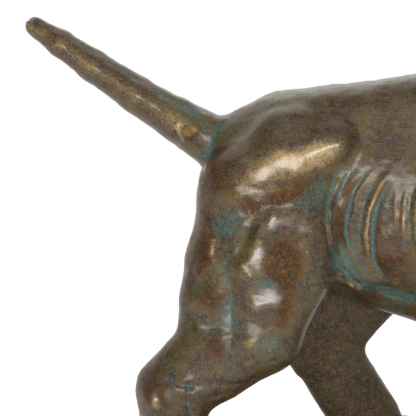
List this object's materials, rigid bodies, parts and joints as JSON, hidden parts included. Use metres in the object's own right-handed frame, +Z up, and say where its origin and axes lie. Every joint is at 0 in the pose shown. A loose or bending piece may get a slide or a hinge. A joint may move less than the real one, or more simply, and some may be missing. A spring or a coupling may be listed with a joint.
{
  "type": "bronze hound sculpture",
  "caption": "Cast bronze hound in a low stalking stride, with a stiff raised tail and long ears, standing on a low round-cornered plinth.",
  "frame": {"origin": "centre of the plinth's underside", "axes": "+X towards the hound's head, +Y towards its left side, +Z up"},
  "size_m": [0.6476, 0.178, 0.4104],
  "materials": {
    "patinated_bronze": "waxed brown bronze with olive-gold high spots, teal verdigris in the hollows and rust-coloured patches",
    "plinth_bronze": "darker waxed brown bronze with teal verdigris round the paws"
  },
  "bodies": {
    "root": {"hound": "patinated_bronze", "plinth": "plinth_bronze"}
  },
  "joints": []
}
